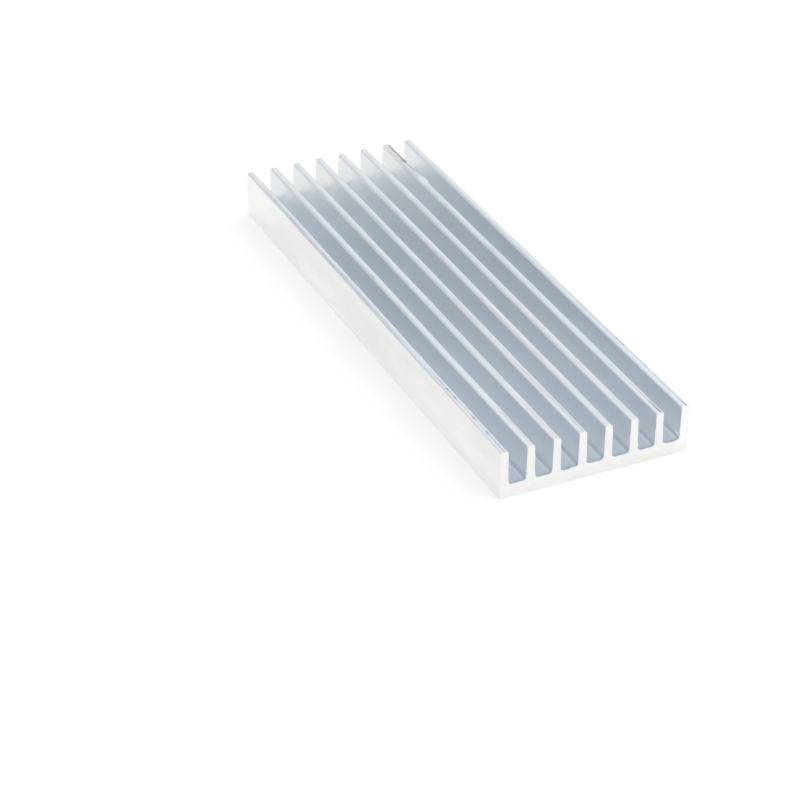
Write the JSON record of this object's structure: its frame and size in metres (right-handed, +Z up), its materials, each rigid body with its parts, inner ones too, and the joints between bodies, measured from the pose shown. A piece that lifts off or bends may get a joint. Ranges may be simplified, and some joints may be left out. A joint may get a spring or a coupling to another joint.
{
  "type": "extruded heat sink",
  "caption": "Straight aluminium bar with a flat base plate and a comb of thin upright fins along its length, to carry heat from a chip or module into the air.",
  "frame": {"origin": "middle of the flat underside, which is the middle of the part's box at its lowest level", "axes": "+X across the fins, +Y along the bar and its channels, +Z up from the underside to the fin tips"},
  "size_m": [0.0322, 0.1, 0.0083],
  "materials": {
    "aluminium": "bare, satin as extruded, with fine die lines along the bar and matt sawn ends"
  },
  "bodies": {
    "root": {"heat_sink": "aluminium"}
  },
  "joints": []
}
